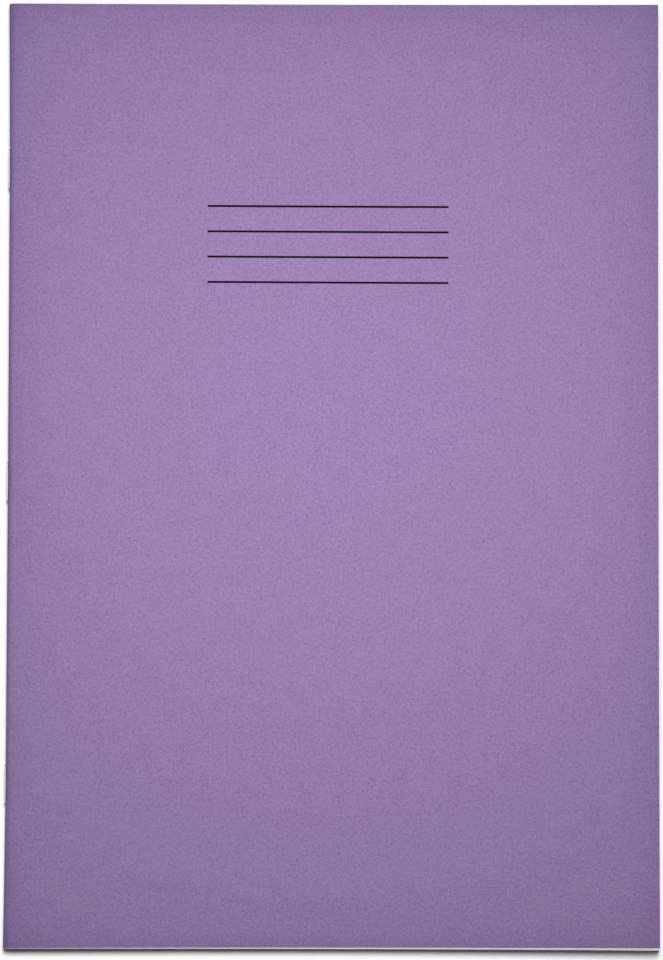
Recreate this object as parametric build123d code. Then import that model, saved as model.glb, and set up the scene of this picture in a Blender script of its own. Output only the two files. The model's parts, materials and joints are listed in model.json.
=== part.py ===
from build123d import *
import os
from math import atan, degrees

# A stapled exercise book lying closed on its back cover: one folded card cover, folded sheets of
# paper nested inside it, and wire staples through the fold. X runs from the fold to the fore edge,
# Y from the tail to the head, and Z up out of the front cover. The origin lies under the middle of
# the book. Sizes are in millimetres.

# The closed book
book_height = 297.0
book_width = 203.0  # outside of the fold to the fore edge
fore_edge_rise = 2.8  # how far the front cover springs up at the fore edge

# Card and paper
card_thickness = 0.26
paper_thickness = 0.09
sheet_count = 16
sheet_air = 0.012  # between two nested sheets at the fold

# Staples
wire_diameter = 0.55
bend_inside = 0.12  # inside radius of each bend in the wire
staple_span = 13.1  # over both legs
clinch_gap = 2.8  # between the two clinched ends
head_staple_inset = 52.4  # head of the book to the middle of its staple
tail_staple_inset = 51.0  # tail of the book to the middle of its staple
middle_staple_offset = -2.6  # middle of the book to the middle of its staple, towards the head

# Clearances
crown_clearance = 0.05  # crown to the outside of the fold
leg_clearance = 0.03  # leg to the hole that it goes through
clinch_clearance = 0.05  # clinched wire to the paper round it

# The fold: half rings about one axis, which the clinched ends of the staples lie on
clinch_room = wire_diameter / 2 + clinch_clearance
sheet_pitch = paper_thickness + sheet_air
cover_inside = clinch_room + sheet_count * sheet_pitch
cover_outside = cover_inside + card_thickness
crown_reach = cover_outside + crown_clearance + wire_diameter / 2
crown_stand = crown_clearance + wire_diameter
axis_x = (crown_stand - book_width) / 2 + cover_outside
fold_axis = Pos(axis_x, 0, cover_outside)

# The leaves: flat panels that start beside the clinched wire and end at the fore edge
leaf_start = clinch_room
leaf_reach = book_width - cover_outside
leaf_length = leaf_reach - leaf_start
leaf_count = 2 * sheet_count
fore_edge_pitch = (2 * cover_inside + fore_edge_rise) / leaf_count

# Staple centres, measured from the middle of the book towards the head
staple_centres = {
    "head_staple": book_height / 2 - head_staple_inset,
    "middle_staple": middle_staple_offset,
    "tail_staple": tail_staple_inset - book_height / 2,
}
leg_offset = (staple_span - wire_diameter) / 2


def panel(height_at_fold, thickness, tilt):
    """A flat leaf or cover, its middle this far above the fold's axis, turned up by tilt degrees."""
    flat = Box(leaf_length, book_height, thickness)
    return fold_axis * Rot(0, -tilt, 0) * Pos(leaf_start + leaf_length / 2, 0, height_at_fold) * flat


def leg_holes():
    """A round hole for each staple leg, from the fold's axis out past the crowns."""
    hole = Rot(0, 90, 0) * Cylinder(wire_diameter / 2 + leg_clearance, crown_reach)
    holes = []
    for centre in staple_centres.values():
        for leg_y in (centre - leg_offset, centre + leg_offset):
            holes.append(fold_axis * Pos(-crown_reach / 2, leg_y, 0) * hole)
    return holes


def fold(inside, thickness, front_tilt, back_tilt):
    """The round of a folded sheet, with a short flat at each end that meets the leaf there."""
    outside = inside + thickness
    turn = 180 + back_tilt - front_tilt
    edges = [CenterArc((0, 0), radius, 90 + front_tilt, turn) for radius in (inside, outside)]
    for near, far, tilt in ((inside, outside, front_tilt), (-inside, -outside, back_tilt)):
        corners = [(0, near), (leaf_start, near), (leaf_start, far), (0, far)]
        edges.append(Polyline(*[Vector(*corner).rotate(Axis.Z, tilt) for corner in corners]))
    section = make_face(edges)
    whole = fold_axis * extrude(Plane.XZ * section, amount=book_height / 2, both=True)
    return whole - leg_holes()


def staple(centre):
    """A wire staple: crown outside the fold, two legs through it, ends clinched along its axis."""
    tip = clinch_gap / 2
    path = FilletPolyline(
        (0, centre + tip, 0),
        (0, centre + leg_offset, 0),
        (-crown_reach, centre + leg_offset, 0),
        (-crown_reach, centre - leg_offset, 0),
        (0, centre - leg_offset, 0),
        (0, centre - tip, 0),
        radius=bend_inside + wire_diameter / 2,
    )
    section = Plane(origin=path @ 0, z_dir=path % 0) * Circle(wire_diameter / 2)
    return fold_axis * sweep(section, path=path)


def leaf_tilt(place, height_at_fold):
    """Degrees by which a leaf slopes so that all leaves are evenly spaced at the fore edge.
    place counts the leaves from the back cover, starting at 1."""
    height_at_fore_edge = (place - 0.5) * fore_edge_pitch - cover_inside
    return degrees(atan((height_at_fore_edge - height_at_fold) / leaf_reach))


def sheet(number):
    """One folded sheet of paper as its three stretches. Sheet 1 is the outermost."""
    inside = clinch_room + (sheet_count - number) * sheet_pitch
    middle = inside + paper_thickness / 2
    front_tilt = leaf_tilt(leaf_count + 1 - number, middle)
    back_tilt = leaf_tilt(number, -middle)
    return {
        "front_leaf": panel(middle, paper_thickness, front_tilt),
        "fold": fold(inside, paper_thickness, front_tilt, back_tilt),
        "back_leaf": panel(-middle, paper_thickness, back_tilt),
    }


def cover():
    """The folded card cover as its three stretches. The back cover lies flat."""
    middle = cover_inside + card_thickness / 2
    front_tilt = degrees(atan(fore_edge_rise / leaf_reach))
    return {
        "front_cover": panel(middle, card_thickness, front_tilt),
        "cover_spine": fold(cover_inside, card_thickness, front_tilt, 0),
        "back_cover": panel(-middle, card_thickness, 0),
    }


book = cover()
for number in range(1, sheet_count + 1):
    for stretch, solid in sheet(number).items():
        book[f"sheet_{number:02d}_{stretch}"] = solid
for name, centre in staple_centres.items():
    book[name] = staple(centre)

os.makedirs("parts", exist_ok=True)
for name, solid in book.items():
    export_step(solid, f"parts/{name}.step")
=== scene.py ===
import bpy
import json
from math import pi, radians
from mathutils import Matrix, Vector
import numpy as np


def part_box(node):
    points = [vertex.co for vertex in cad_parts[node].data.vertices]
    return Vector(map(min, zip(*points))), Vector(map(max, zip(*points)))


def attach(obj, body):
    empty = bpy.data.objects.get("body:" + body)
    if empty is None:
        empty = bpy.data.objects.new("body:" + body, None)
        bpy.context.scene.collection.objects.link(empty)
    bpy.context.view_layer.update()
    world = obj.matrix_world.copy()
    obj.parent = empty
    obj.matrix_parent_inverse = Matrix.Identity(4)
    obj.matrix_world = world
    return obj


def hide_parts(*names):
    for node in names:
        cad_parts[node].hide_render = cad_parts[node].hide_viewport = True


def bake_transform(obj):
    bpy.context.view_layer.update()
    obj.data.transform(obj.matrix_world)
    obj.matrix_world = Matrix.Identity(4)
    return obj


# A stapled exercise book: flecked card cover, sixteen folded sheets, three wire staples.
# The fold lies at -X, the head of the book at +Y. Everything is in metres.

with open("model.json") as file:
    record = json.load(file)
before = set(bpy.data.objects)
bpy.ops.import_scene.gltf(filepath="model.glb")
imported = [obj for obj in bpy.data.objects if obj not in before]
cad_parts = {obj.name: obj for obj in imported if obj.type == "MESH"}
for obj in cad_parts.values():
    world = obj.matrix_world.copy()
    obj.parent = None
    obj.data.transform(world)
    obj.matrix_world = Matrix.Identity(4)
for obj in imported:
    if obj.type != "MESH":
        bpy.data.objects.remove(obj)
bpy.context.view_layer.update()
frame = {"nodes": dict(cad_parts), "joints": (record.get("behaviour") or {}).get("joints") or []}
mm = 0.001
print("frame loaded:", len(frame["nodes"]), "nodes")


# Shader arithmetic: sums on a wrapped socket become Math nodes

class Socket:
    def __init__(self, tree, output=None):
        self.tree = tree
        self.output = output

    # any node: its type, its settings (set first), its sockets' values or links, the output wanted
    def node(self, kind, settings, inputs, output=0):
        made = self.tree.nodes.new("ShaderNode" + kind)
        for name, setting in settings.items():
            setattr(made, name, setting)
        for name, given in inputs.items():
            if isinstance(given, Socket):
                self.tree.links.new(given.output, made.inputs[name])
            else:
                made.inputs[name].default_value = given
        return Socket(self.tree, made.outputs[output] if made.outputs else None)

    def math(self, operation, first, second=0.0):
        return self.node("Math", {"operation": operation}, {0: first, 1: second})

    def __add__(self, other):
        return self.math("ADD", self, other)

    def __radd__(self, other):
        return self.math("ADD", other, self)

    def __sub__(self, other):
        return self.math("SUBTRACT", self, other)

    def __rsub__(self, other):
        return self.math("SUBTRACT", other, self)

    def __mul__(self, other):
        return self.math("MULTIPLY", self, other)

    def __rmul__(self, other):
        return self.math("MULTIPLY", other, self)

    def __truediv__(self, other):
        return self.math("DIVIDE", self, other)

    def __rtruediv__(self, other):
        return self.math("DIVIDE", other, self)

    def __abs__(self):
        return self.math("ABSOLUTE", self)

    def rounded(self):
        return self.math("ROUND", self)

    def least(self, other):
        return self.math("MINIMUM", self, other)

    def most(self, other):
        return self.math("MAXIMUM", self, other)

    # eases from 0 to 1 as the value goes from low to high, or back where high is the smaller
    def eased(self, low, high):
        if low > high:
            return 1 - self.eased(high, low)
        settings = {"interpolation_type": "SMOOTHSTEP"}
        return self.node("MapRange", settings, {"Value": self, "From Min": low, "From Max": high})

    # colour a where this value is 0, colour b where it is 1
    def mixed(self, a, b):
        return self.node("Mix", {"data_type": "RGBA"}, {0: self, 6: a, 7: b}, 2)


def newMaterial(name):
    material = bpy.data.materials.new(name)
    material.use_nodes = True
    material.node_tree.nodes.clear()
    return material, Socket(material.node_tree)


def finishMaterial(paint, inputs):
    shader = paint.node("BsdfPrincipled", {}, inputs)
    paint.node("OutputMaterial", {}, {"Surface": shader})


# u and v of the piece's own map, in metres over the flat sheet
def sheetPlace(paint):
    place = paint.node("UVMap", {"uv_map": "sheetMap"}, {})
    u = paint.node("SeparateXYZ", {}, {0: place}, "X")
    v = paint.node("SeparateXYZ", {}, {0: place}, "Y")
    return place, u, v


# the map turned by an angle and stretched, so that a noise on it comes out as strands
def strandPlace(paint, place, angle, stretch):
    turned = paint.node("Mapping", {}, {"Vector": place, "Rotation": (0, 0, angle)})
    return paint.node("Mapping", {}, {"Vector": turned, "Scale": (1 / stretch, 1, 1)})


def noise(paint, place, size, detail=2.0, roughness=0.5):
    settings = {"noise_dimensions": "2D"}
    inputs = {"Vector": place, "Scale": 1 / size, "Detail": detail, "Roughness": roughness}
    return paint.node("TexNoise", settings, inputs)


# Book sizes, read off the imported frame

hinge = {joint["name"]: joint for joint in frame["joints"]}["front_cover_turn"]
axisX, axisY, axisZ = hinge["pos_m"]
backLow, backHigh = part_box("back_cover")
frontLow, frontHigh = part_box("front_cover")
cardThickness = backHigh.z - backLow.z
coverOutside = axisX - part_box("cover_spine")[0].x
leafReach = backHigh.x - axisX
foreEdgeRise = frontHigh.z - axisZ - coverOutside
stapleNames = ["head_staple", "middle_staple", "tail_staple"]
stapleBoxes = [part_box(name) for name in stapleNames]
stapleCentres = np.array([(low.y + high.y) / 2 for low, high in stapleBoxes])
stapleSpan = stapleBoxes[0][1].y - stapleBoxes[0][0].y
clinchRadius = stapleBoxes[0][1].x - axisX
paperThickness = 0.09 * mm
foldNodes = sorted(name for name in frame["nodes"] if name.endswith("_fold"))
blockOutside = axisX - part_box(foldNodes[0])[0].x
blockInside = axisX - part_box(foldNodes[-1])[0].x - paperThickness


# Folded sheets: one path, back fore edge, round the fold, front fore edge, carried along Y

fold = {
    "leafSteps": 26,  # along each leaf
    "roundSteps": 25,  # round the fold of the cover
    "rowStep": 5.5 * mm,  # along the book
    "stapleRowStep": 0.6 * mm,  # along the book, beside a staple
    "stapleRowReach": 9.0 * mm,
    "spring": 2.8,  # power of the curve by which the leaves spring up towards the fore edge
    "waveShare": 0.05,  # of that rise, up and down along the book
    "waveLength": 0.23,
    "waveStart": 0.8,
    "rippleShare": 0.4,  # of a quicker wave on top
    "rippleRate": 5.1,
    "spineBow": 0.54 * mm,  # how far the fold bows in, half way along the book
    "foreEdgeBow": 0.23 * mm,
    "tailBow": 0.31 * mm,  # of the cut along the tail, half way across
    "tailSkew": 0.22 * mm,  # of that cut, back at the fore edge and out at the fold
    "tailSlant": 0.36 * mm,  # the same cut at the fold, from the front cover down to the back cover
    "tailFade": 16,  # power by which the cut's shape fades out towards the head
    "tailDroop": 0.25,  # share by which the leaves rise less at the tail
    "droopFade": 6,
    "trimFade": 8,  # power that keeps a longer or shorter sheet's difference at its two ends
    "pull": 0.36 * mm,  # how far a staple draws the fold in between its legs
    "dent": 0.16 * mm,  # at each leg
    "dentWidth": 0.55 * mm,
    "dipReach": 12.0 * mm,  # from the fold, over which the leaves dip to a crease that is drawn in
    "sharpAngle": 40,
}


# Y of the rows: evenly spaced, and close together beside the staples
def bookRows():
    count = round((backHigh.y - backLow.y) / fold["rowStep"])
    even = np.linspace(backLow.y, backHigh.y, count + 1)
    clear = np.abs(even[:, None] - stapleCentres).min(1) > fold["stapleRowReach"]
    steps = round(fold["stapleRowReach"] / fold["stapleRowStep"])
    beside = np.linspace(-fold["stapleRowReach"], fold["stapleRowReach"], 2 * steps + 1)
    return np.sort(np.concatenate([even[clear], (stapleCentres[:, None] + beside).ravel()]))


# How far the staples draw the outside of the fold in at y: a bow between the two legs,
# 1 - (distance from the staple's middle / half its span) squared, and a narrow bell at each leg
def stapleDraw(y):
    half = stapleSpan / 2
    away = np.abs(y[:, None] - stapleCentres).min(1)
    bow = np.clip(1 - (away / half) ** 2, 0, 1)
    bell = np.exp(-((away - half) / fold["dentWidth"]) ** 2)
    return fold["pull"] * bow + fold["dent"] * bell


# how far the fold bows in at y: 1 - (y / half the book's height) to the fourth
def spineBow(y):
    return fold["spineBow"] * (1 - (y / backHigh.y) ** 4)


# how far the fold is drawn in at its outside's radius: all of it on the cover, nothing at the clinched wire
def foldDraw(outside, y):
    return (stapleDraw(y) + spineBow(y)) * (outside - clinchRadius) / (coverOutside - clinchRadius)


# radius of a sheet's crease: the folds of the block, evenly spaced between the drawn in outermost one and
# the innermost one, whose two flat sides just clear the clinched wire
def creaseRadius(outside, y):
    room = clinchRadius * 2 ** 0.5
    place = (outside - blockInside) / (blockOutside - blockInside)
    return room + place * (blockOutside - foldDraw(blockOutside, y) - room)


# 0 at the head, 1 at the tail
def tailShare(y):
    return (backHigh.y - y) / (backHigh.y - backLow.y)


# How far the cut along the tail stands back from a square one: a bow and a skew over the width, and a slant
# by the height in the closed book, most at the fold. It fades out by a high power of the tail's share.
def tailCut(x, y, z):
    across = np.clip((x - axisX) / leafReach, 0, 1)
    top = 2 * coverOutside + foreEdgeRise * across ** fold["spring"]
    back = fold["tailBow"] * (1 - (2 * across - 1) ** 2) + fold["tailSkew"] * (2 * across - 1)
    back += fold["tailSlant"] * (1 - z / top) * (1 - across) ** 3
    return back * tailShare(y) ** fold["tailFade"]


# One face of a folded sheet as points over (path, row). On a leaf, with s the share of the way to the
# fore edge, the height goes from the fold's radius to the fore edge's height by s to the power of
# the spring, a little more or less along the book and less at the tail. The fold of the cover is a half
# circle about the fold's axis, drawn in most at its middle. The fold of a sheet is a crease with two flat
# sides, three points on a circle, which leaves it room to open out; its leaves dip to it by a bell over s.
def sheetFace(y, radius, backEdge, frontEdge, offset, creased):
    s = np.linspace(1, 0, fold["leafSteps"], endpoint=False)[:, None]
    outside = radius + offset
    if creased:
        angle = np.linspace(1.5 * pi, 0.5 * pi, 3)[:, None]
        ring = creaseRadius(outside, y)
        dip = (outside - ring) * np.exp(-((s * leafReach / fold["dipReach"]) ** 2))
    else:
        angle = np.linspace(1.5 * pi, 0.5 * pi, fold["roundSteps"])[:, None]
        ring = outside - foldDraw(outside, y) * np.cos(angle) ** 2
        dip = 0
    wave = np.sin(2 * pi * y / fold["waveLength"] + fold["waveStart"])
    wave = wave + fold["rippleShare"] * np.sin(fold["rippleRate"] * pi * y / fold["waveLength"])
    droop = 1 - fold["tailDroop"] * tailShare(y) ** fold["droopFade"]
    lift = s ** fold["spring"] * (1 + fold["waveShare"] * s * wave) * droop
    leafX = axisX + s * (leafReach - fold["foreEdgeBow"] * (1 - (y / backHigh.y) ** 2))
    backZ = axisZ - outside + lift * (backEdge + radius) + dip
    frontZ = axisZ + outside + lift * (frontEdge - radius) - dip
    x = np.concatenate([leafX, axisX + ring * np.cos(angle), leafX[::-1]])
    z = np.concatenate([backZ, axisZ + ring * np.sin(angle), frontZ[::-1]])
    flatLength = s * leafReach + radius * pi / 2
    u = np.concatenate([-flatLength, (pi - angle) * radius, flatLength[::-1]])
    points = np.stack([x, y + tailCut(x, y, z), z], axis=2)
    return points, u * np.ones_like(y)


# quads between neighbours of a grid of vertex numbers
def gridQuads(numbers):
    corners = [numbers[:-1, :-1], numbers[1:, :-1], numbers[1:, 1:], numbers[:-1, 1:]]
    return np.stack(corners, axis=2).reshape(-1, 4)


# A closed thin piece: outer face, inner face and the edges between them. Its map has u, v in metres:
# u runs from the fold, on a whole number of metres that differs for every face, and is mirrored inside.
def thinPiece(name, index, outer, inner, u, material):
    numbers = np.arange(u.size).reshape(u.shape)
    out, ins = numbers, numbers + u.size
    strips = [
        np.stack([ins[:, 0], out[:, 0]]).T,
        np.stack([out[:, -1], ins[:, -1]]).T,
        np.stack([out[0], ins[0]]).T,
        np.stack([ins[-1], out[-1]]).T,
    ]
    faces = [gridQuads(out), gridQuads(ins)[:, [0, 3, 2, 1]]]  # both cut along the same diagonals
    faces += [gridQuads(strip) for strip in strips]
    points = np.concatenate([outer.reshape(-1, 3), inner.reshape(-1, 3)])
    v = np.tile(points[: u.size, 1], 2)
    mapU = np.concatenate([2 * index + u.ravel(), 2 * index + 1 - u.ravel()])
    places = np.stack([mapU, v], axis=1)
    quads = np.concatenate(faces)
    corners = places[quads]
    isEdge = np.arange(len(quads)) >= len(faces[0]) + len(faces[1])
    corners[isEdge, :, 0] = 2 * index + 0.45
    mesh = bpy.data.meshes.new(name)
    mesh.vertices.add(len(points))
    mesh.vertices.foreach_set("co", points.astype(np.float32).ravel())
    mesh.loops.add(quads.size)
    mesh.loops.foreach_set("vertex_index", quads.astype(np.int32).ravel())
    mesh.polygons.add(len(quads))
    mesh.polygons.foreach_set("loop_start", np.arange(0, quads.size, 4, dtype=np.int32))
    mesh.polygons.foreach_set("use_smooth", ~isEdge)
    mesh.update(calc_edges=True)
    layer = mesh.uv_layers.new(name="sheetMap")
    layer.uv.foreach_set("vector", corners.astype(np.float32).ravel())
    mesh.set_sharp_from_angle(angle=radians(fold["sharpAngle"]))
    mesh.validate()
    mesh.materials.append(material)
    piece = bpy.data.objects.new(name, mesh)
    bpy.context.scene.collection.objects.link(piece)
    return piece


# A folded sheet as three pieces that meet above and below the fold's axis: the two leaves ride on their
# bodies, and the fold between them is baked in place, on no body
def foldedSheet(words, index, radius, thickness, backEdge, frontEdge, trim, creased, material):
    rows = bookRows()
    y = rows * (1 + trim * (rows / backHigh.y) ** fold["trimFade"])
    outer, u = sheetFace(y, radius, backEdge, frontEdge, thickness / 2, creased)
    inner, u = sheetFace(y, radius, backEdge, frontEdge, -thickness / 2, creased)
    first = fold["leafSteps"]
    last = len(u) - first - 1
    stretches = [slice(0, first + 1), slice(first, last + 1), slice(last, None)]
    made = []
    for node, part in zip(words["nodes"], stretches):
        piece = thinPiece(words["stuff"] + "_" + node, index, outer[part], inner[part], u[part], material)
        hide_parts(node)
        made.append(piece)
    back, front = words["bodies"]
    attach(made[0], back)
    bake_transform(made[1])
    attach(made[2], front)
    return made


# Card cover

cover = {
    "colour": (0.354, 0.236, 0.472, 1),
    "lightFleck": (0.407, 0.279, 0.525, 1),
    "darkFleck": (0.292, 0.184, 0.406, 1),
    "speck": (0.16, 0.095, 0.24, 1),
    "fleckSize": 0.75 * mm,
    "cloudSize": 6.0 * mm,
    "fibreWidth": 0.28 * mm,
    "fibreStretch": 6.0,
    "fibreAngles": [0.4, 1.5, 2.5],
    "speckCell": 5.0 * mm,
    "speckRadius": 0.16 * mm,
    "toothHeight": 0.012 * mm,
    "fleckShare": 1.15,
    "cloudShare": 0.2,
    "lightFibre": 0.25,
    "darkFibre": 0.3,
    "toneReach": 0.35,
    # painted shade near the card's edges and the fold: its colour, share and reach
    "handled": (0.05, 0.02, 0.16, 1),
    "handledShare": 0.16,
    "handledReach": 6.3 * mm,
    "ink": (0.004, 0.003, 0.005, 1),
    "lineStart": -39.04 * mm,  # x of the printed lines' left ends
    "lineEnd": 36.18 * mm,
    "firstLine": 84.29 * mm,  # y of the top line
    "linePitch": 8.017 * mm,
    "lineSlope": -0.0025,  # down towards the fore edge
    "lineCount": 4,
    "lineWidth": 0.66 * mm,
    "inkSpread": 0.05 * mm,
    "bleedSize": 0.35 * mm,
    "inkEdge": 0.04 * mm,
}


# four plain printed lines: 1 on the ink, 0 off it
def printedLines(paint, place, u, v):
    bleed = (noise(paint, place, cover["bleedSize"], 1.0) - 0.5) * (2 * cover["inkSpread"])
    toFlat = coverOutside * pi / 2 - axisX
    middle = (cover["lineStart"] + cover["lineEnd"]) / 2 + toFlat
    row = (cover["firstLine"] + (u - middle) * cover["lineSlope"] - v) / cover["linePitch"]
    nearest = row.rounded().most(0.0).least(cover["lineCount"] - 1.0)
    offLine = abs(row - nearest) * cover["linePitch"] - cover["lineWidth"] / 2
    offEnd = abs(u - middle) - (cover["lineEnd"] - cover["lineStart"]) / 2
    return (offLine.most(offEnd) + bleed).eased(cover["inkEdge"], -cover["inkEdge"])


# painted shade: how much darker the card is made near its edges and the fold, where the light falls off: for
# each of the two directions a share that falls off by e over the reach
def paintedEdgeShade(paint, u, v):
    across = abs(u - u.rounded())
    width = leafReach + coverOutside * pi / 2
    side = (across - coverOutside).least(width - across)
    end = (v - backLow.y).least(backHigh.y - v)
    kept = 1.0
    for distance in (side, end):
        near = paint.math("EXPONENT", distance.most(0.0) / -cover["handledReach"])
        kept = kept * (1 - near * cover["handledShare"])
    return 1 - kept


def cardMaterial():
    material, paint = newMaterial("fleckedCard")
    place, u, v = sheetPlace(paint)
    fine = noise(paint, place, cover["fleckSize"], 3.0, 0.6)
    cloud = noise(paint, place, cover["cloudSize"], 2.0)
    tone = (fine - 0.5) * cover["fleckShare"] + (cloud - 0.5) * cover["cloudShare"]
    for angle in cover["fibreAngles"]:
        strands = strandPlace(paint, place, angle, cover["fibreStretch"])
        strand = noise(paint, strands, cover["fibreWidth"], 1.0)
        light = strand.eased(0.64, 0.8) * cover["lightFibre"]
        tone = tone + light - strand.eased(0.36, 0.2) * cover["darkFibre"]
    colour = tone.eased(0.0, cover["toneReach"]).mixed(cover["colour"], cover["lightFleck"])
    colour = tone.eased(0.0, -cover["toneReach"]).mixed(colour, cover["darkFleck"])
    cells = {"Vector": place, "Scale": 1 / cover["speckCell"]}
    spot = paint.node("TexVoronoi", {"voronoi_dimensions": "2D"}, cells, "Distance") * cover["speckCell"]
    chance = paint.node("TexVoronoi", {"voronoi_dimensions": "2D"}, cells, "Color")
    chance = paint.node("SeparateColor", {}, {0: chance}, "Red")
    radius = chance.eased(0.45, 1.0) * cover["speckRadius"]
    speck = (spot - radius).eased(0.1 * mm, -0.02 * mm) * chance.eased(0.4, 0.5)
    colour = (speck * 0.8).mixed(colour, cover["speck"])
    # painted shade: the card darkened towards its edges and the fold
    colour = paintedEdgeShade(paint, u, v).mixed(colour, cover["handled"])
    ink = printedLines(paint, place, u, v)
    colour = ink.mixed(colour, cover["ink"])
    bump = {"Height": fine + tone * 0.3, "Distance": cover["toothHeight"]}
    finishMaterial(paint, {
        "Base Color": colour,
        "Roughness": 0.92 - ink * 0.25,
        "Specular IOR Level": 0.04,
        "Normal": paint.node("Bump", {}, bump),
    })
    return material


coverMiddle = coverOutside - cardThickness / 2
coverWords = {
    "nodes": ["back_cover", "cover_spine", "front_cover"],
    "bodies": ["back_cover", "front_cover"],
    "stuff": "card",
    "slot": "cover_card",
}
cardCover = foldedSheet(
    coverWords, 0, coverMiddle, cardThickness, -coverMiddle, coverMiddle + foreEdgeRise, 0.0, False,
    cardMaterial(),
)
print("card cover:", [len(piece.data.polygons) for piece in cardCover], "faces")


# Pages

pages = {
    "paper": (0.87, 0.87, 0.85, 1),
    "shade": (0.80, 0.80, 0.775, 1),
    "rule": (0.34, 0.48, 0.70, 1),
    "margin": (0.76, 0.30, 0.38, 1),
    "rulePitch": 8.0 * mm,
    "ruleWidth": 0.28 * mm,
    "headSpace": 26.0 * mm,  # above the first rule
    "tailSpace": 12.0 * mm,
    "marginFromFold": 25.0 * mm,  # on a right-hand page
    "marginFromForeEdge": 24.0 * mm,  # on a left-hand page, from the fold to this far short of the edge
    "clump": 0.12 * mm,  # how far leaves bunch together at the fore edge
    "trimShare": 0.0003,  # of its length, by which a sheet is cut longer or shorter
    "cloudSize": 1.6 * mm,
    "faintSize": 0.8 * mm,  # of the faint places in the ruling
    "ruleInk": 0.75,
    "toothSize": 0.4 * mm,
    "toothHeight": 0.006 * mm,
}


def paperMaterial():
    material, paint = newMaterial("ruledPaper")
    place, u, v = sheetPlace(paint)
    fromFold = u - u.rounded()
    cloud = noise(paint, place, pages["cloudSize"], 3.0, 0.6)
    colour = cloud.eased(0.35, 0.75).mixed(pages["paper"], pages["shade"])
    onPage = abs(fromFold).eased(0.21, 0.205)
    row = (backHigh.y - pages["headSpace"] - v) / pages["rulePitch"]
    offRule = abs(row - row.rounded().most(0.0)) * pages["rulePitch"]
    lowest = (v - backLow.y).eased(pages["tailSpace"] - 0.1 * mm, pages["tailSpace"])
    faint = noise(paint, place, pages["faintSize"], 2.0).eased(0.2, 0.6)
    rule = offRule.eased(pages["ruleWidth"] * 0.7, pages["ruleWidth"] * 0.3) * onPage * lowest * faint
    colour = (rule * pages["ruleInk"]).mixed(colour, pages["rule"])
    toLeft = abs(fromFold + leafReach - pages["marginFromForeEdge"])
    toRight = abs(fromFold - pages["marginFromFold"])
    margin = toLeft.least(toRight).eased(pages["ruleWidth"] * 0.7, pages["ruleWidth"] * 0.3) * faint
    colour = (margin * pages["ruleInk"]).mixed(colour, pages["margin"])
    tooth = noise(paint, place, pages["toothSize"], 3.0)
    finishMaterial(paint, {
        "Base Color": colour,
        "Roughness": 0.88 - cloud * 0.1,
        "Specular IOR Level": 0.25,
        "Normal": paint.node("Bump", {}, {"Height": tooth, "Distance": pages["toothHeight"]}),
    })
    return material


# height at the fore edge, with the leaves bunched: two slow waves over the leaves' order, which never cross
def bunched(edge):
    order = (edge + coverOutside) / mm
    return edge + pages["clump"] * (np.sin(2.6 * order + 0.5) + 0.6 * np.sin(4.1 * order + 2.0)) * 0.6


ruledPaper = paperMaterial()
sheets = []
for index, foldNode in enumerate(foldNodes, start=1):
    stem = foldNode[: -len("_fold")]
    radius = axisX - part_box(foldNode)[0].x - paperThickness / 2
    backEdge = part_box(stem + "_back_leaf")[1].z - paperThickness / 2 - axisZ
    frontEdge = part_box(stem + "_front_leaf")[1].z - paperThickness / 2 - axisZ
    trim = pages["trimShare"] * np.sin(2.4 * index)
    sheetWords = {
        "nodes": [stem + "_back_leaf", foldNode, stem + "_front_leaf"],
        "bodies": [stem + "_back", stem + "_front"],
        "stuff": "paper",
        "slot": "page_paper",
    }
    sheets += foldedSheet(
        sheetWords, index, radius, paperThickness, bunched(backEdge), bunched(frontEdge), trim, True,
        ruledPaper,
    )
for piece in sheets:
    piece.visible_diffuse = False  # no light from the page edges on the floor's shadow
print("sheets:", len(foldNodes), "in", len(sheets), "pieces")


# Staples: bent round wire, pressed on to the fold

wire = {
    "steel": (0.80, 0.80, 0.81, 1),
    "dull": (0.62, 0.62, 0.63, 1),
    "bendInside": 0.12 * mm,
    "bendSteps": 7,
    "straightSteps": 9,
    "sides": 16,
    "press": 0.27 * mm,  # how far the crown is sunk into the card
    "clinchGap": 2.8 * mm,  # between the two ends
    "bendMark": (0.06, 0.06, 0.065, 1),  # painted shade and dark reflection where the wire bends into the card
    "bendReach": 1.0 * mm,
    "drawLength": 1.5 * mm,
    "drawWidth": 0.05 * mm,
    "drawHeight": 0.002 * mm,
    "sharpAngle": 50,
}


# X and Y of the wire's middle from one end to the other, about the staple's own middle. The half from the
# crown's middle is: crown, quarter turn, leg, quarter turn, clinched end. The other half mirrors it.
def wirePath(crownX, leg, bend):
    turn = np.linspace(0, pi / 2, wire["bendSteps"])
    steps = wire["straightSteps"]
    crown = [np.full(steps, crownX), np.linspace(0, leg - bend, steps, endpoint=False)]
    outside = [crownX + bend * (1 - np.cos(turn)), leg - bend * (1 - np.sin(turn))]
    inside = [axisX - bend * (1 - np.sin(turn)), leg - bend * (1 - np.cos(turn))]
    clinched = [np.full(steps, axisX), np.linspace(leg - bend, wire["clinchGap"] / 2, steps + 1)[1:]]
    half = np.concatenate([crown, outside, inside, clinched], axis=1).T
    return np.concatenate([half[:0:-1] * (1, -1), half])


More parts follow.
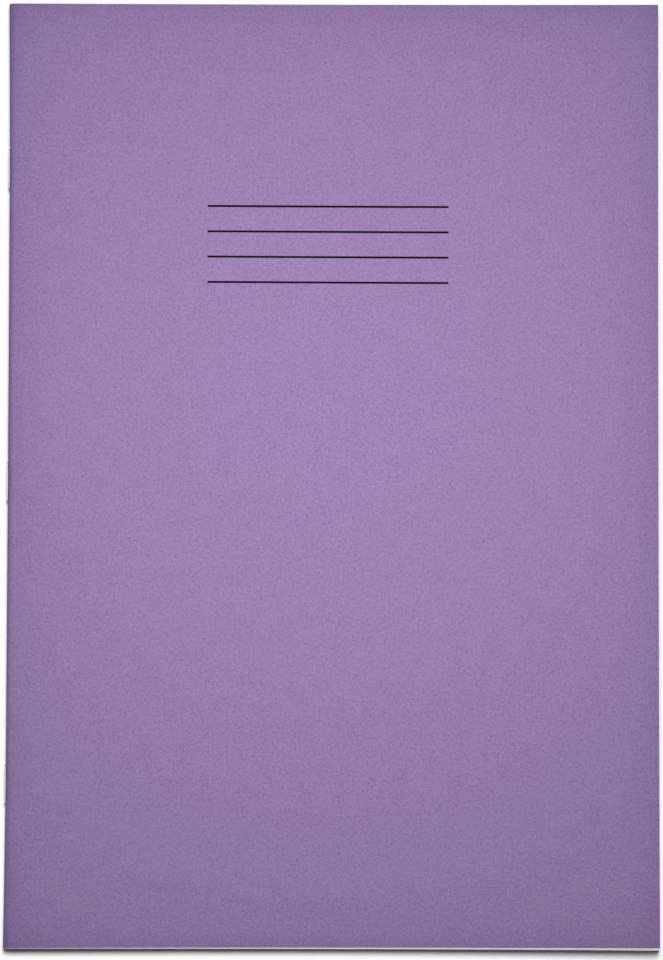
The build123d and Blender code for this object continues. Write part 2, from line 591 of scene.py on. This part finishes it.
# a round tube along the path: a circle square to the path at each of its points, and a flat cut at each end
def bentStaple(name):
    low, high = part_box(name)
    radius = (high.z - low.z) / 2
    middle = (low.y + high.y) / 2
    leg = (high.y - low.y) / 2 - radius
    crownX = low.x + radius + spineBow(middle) + wire["press"]
    path = wirePath(crownX, leg, wire["bendInside"] + radius)
    along = np.gradient(path, axis=0)
    along /= np.linalg.norm(along, axis=1)[:, None]
    angle = np.linspace(0, 2 * pi, wire["sides"], endpoint=False)
    across = radius * np.cos(angle)
    x = path[:, :1] - along[:, 1:] * across
    y = path[:, 1:] + along[:, :1] * across + middle
    z = axisZ + radius * np.sin(angle) * np.ones_like(x)
    points = np.stack([x, y, z], axis=2).reshape(-1, 3)
    numbers = np.arange(len(points)).reshape(x.shape)
    quads = gridQuads(np.concatenate([numbers, numbers[:, :1]], axis=1))[:, ::-1]
    mesh = bpy.data.meshes.new(name)
    mesh.from_pydata(points.tolist(), [], [*quads.tolist(), numbers[0].tolist(), numbers[-1][::-1].tolist()])
    mesh.shade_smooth()
    mesh.set_sharp_from_angle(angle=radians(wire["sharpAngle"]))
    mesh.materials.append(drawnSteel)
    staple = bpy.data.objects.new("wire_" + name, mesh)
    bpy.context.scene.collection.objects.link(staple)
    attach(staple, "binding")
    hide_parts(name)
    return staple


def wireMaterial():
    material, paint = newMaterial("drawnSteel")
    place = paint.node("TexCoord", {}, {}, "Object")
    squeeze = (1, wire["drawWidth"] / wire["drawLength"], 1)
    along = paint.node("Mapping", {}, {"Vector": place, "Scale": squeeze})
    inputs = {"Vector": along, "Scale": 1 / wire["drawWidth"], "Detail": 2.0}
    drawn = paint.node("TexNoise", {}, inputs)
    colour = drawn.eased(0.3, 0.75).mixed(wire["steel"], wire["dull"])
    y = paint.node("SeparateXYZ", {}, {0: place}, "Y")
    away = abs(y - stapleCentres[0])
    for centre in stapleCentres[1:]:
        away = away.least(abs(y - centre))
    # painted shade and dark reflection: the wire darkened near its bends
    bent = away.eased(stapleSpan / 2 - wire["bendReach"], stapleSpan / 2 - 0.4 * wire["bendReach"])
    colour = (bent * (0.6 + drawn * 0.4)).mixed(colour, wire["bendMark"])
    finishMaterial(paint, {
        "Base Color": colour,
        "Metallic": 1.0,
        "Roughness": 0.28 + drawn * 0.15,
        "Normal": paint.node("Bump", {}, {"Height": drawn, "Distance": wire["drawHeight"]}),
    })
    return material


drawnSteel = wireMaterial()
staples = [bentStaple(name) for name in stapleNames]
print("staples:", len(staples), "of", len(staples[0].data.polygons), "faces")


# Floor, light and camera

studio = {
    "floorSize": 16.0,
    "floorDrop": 0.02 * mm,  # below the back cover
    "floorColour": (0.9, 0.9, 0.9, 1),
    "ambient": 0.10,
    "keyPlace": (-0.004, 0.032, 0.36),
    "keyWidth": 0.03,
    "keyLength": 0.22,
    "keyPower": 1.2,
    "floorSun": 3.28,
    "sunFrom": (0.05, 0.32, 1.0),
    "sunAngle": 26.0,
    "pageHeight": 1.2,
    "pageSize": 1.0,
    "pagePower": 12.0,
    "sideAway": 1.3,  # of the lamps that light the page edges, one at each open side
    "sideHeight": 0.13,
    "sideLength": 1.4,
    "sideWidth": 0.2,
    "sidePower": 13.0,
    "cameraPlace": (-0.03869, -0.53367, 3.43133),
    "cameraTurn": (8.8189, -0.6387, 0.2401),  # degrees: tilt, yaw, roll
    "lens": 418.23,
}


def makeFloor():
    material, paint = newMaterial("paleFloor")
    finishMaterial(paint, {"Base Color": studio["floorColour"], "Roughness": 1.0, "Specular IOR Level": 0.0})
    half = studio["floorSize"] / 2
    mesh = bpy.data.meshes.new("floor")
    corners = [(-half, -half), (half, -half), (half, half), (-half, half)]
    mesh.from_pydata([(x, y, -studio["floorDrop"]) for x, y in corners], [], [(0, 1, 2, 3)])
    mesh.materials.append(material)
    floor = bpy.data.objects.new("floor", mesh)
    bpy.context.scene.collection.objects.link(floor)
    return floor


# white to the camera and in reflections, a low even light otherwise
def makeWorld():
    world = bpy.data.worlds.new("studio")
    world.use_nodes = True
    world.node_tree.nodes.clear()
    paint = Socket(world.node_tree)
    seen = paint.node("LightPath", {}, {}, "Is Camera Ray")
    for ray in ("Is Glossy Ray", "Is Transmission Ray"):
        seen = seen.most(paint.node("LightPath", {}, {}, ray))
    low = paint.node("Background", {}, {"Color": (1, 1, 1, 1), "Strength": studio["ambient"]})
    white = paint.node("Background", {}, {"Color": (1, 1, 1, 1), "Strength": 1.0})
    paint.node("OutputWorld", {}, {"Surface": paint.node("MixShader", {}, {0: seen, 1: low, 2: white})})
    bpy.context.scene.world = world


# a lamp that shines along a direction on the given pieces alone
def makeLamp(name, kind, settings, place, direction, lit):
    lamp = bpy.data.lights.new(name, kind)
    for setting, value in settings.items():
        setattr(lamp, setting, value)
    holder = bpy.data.objects.new(name, lamp)
    holder.location = place
    holder.rotation_euler = Vector(direction).to_track_quat("-Z", "Y").to_euler()
    holder.visible_camera = False
    bpy.context.scene.collection.objects.link(holder)
    receivers = bpy.data.collections.new(name + "_lights")
    for piece in lit:
        receivers.objects.link(piece)
    holder.light_linking.receiver_collection = receivers


floor = makeFloor()
makeWorld()
key = {"shape": "RECTANGLE", "size": studio["keyWidth"], "size_y": studio["keyLength"],
       "energy": studio["keyPower"]}
makeLamp("key", "AREA", key, studio["keyPlace"], (0, 0, -1), cardCover)
pageLight = {"shape": "SQUARE", "size": studio["pageSize"], "energy": studio["pagePower"]}
makeLamp("page_light", "AREA", pageLight, (0, 0, studio["pageHeight"]), (0, 0, -1), sheets)
side = {"shape": "RECTANGLE", "size": studio["sideLength"], "size_y": studio["sideWidth"],
        "energy": studio["sidePower"]}
for name, x, y in (("tail_side", 0, -1), ("fore_edge_side", 1, 0), ("head_side", 0, 1)):
    place = (x * studio["sideAway"], y * studio["sideAway"], studio["sideHeight"])
    makeLamp(name, "AREA", side, place, (-x, -y, -0.08), sheets)
sun = {"energy": studio["floorSun"], "angle": radians(studio["sunAngle"])}
makeLamp("floor_sun", "SUN", sun, (0, 0, 2), -Vector(studio["sunFrom"]), [floor])

view = bpy.data.cameras.new("camera")
view.lens = studio["lens"]
camera = bpy.data.objects.new("camera", view)
camera.location = studio["cameraPlace"]
camera.rotation_mode = "ZYX"
camera.rotation_euler = [radians(turn) for turn in studio["cameraTurn"]]
bpy.context.scene.collection.objects.link(camera)
bpy.context.scene.camera = camera
bpy.context.scene.view_settings.view_transform = "Standard"
print("studio ready")
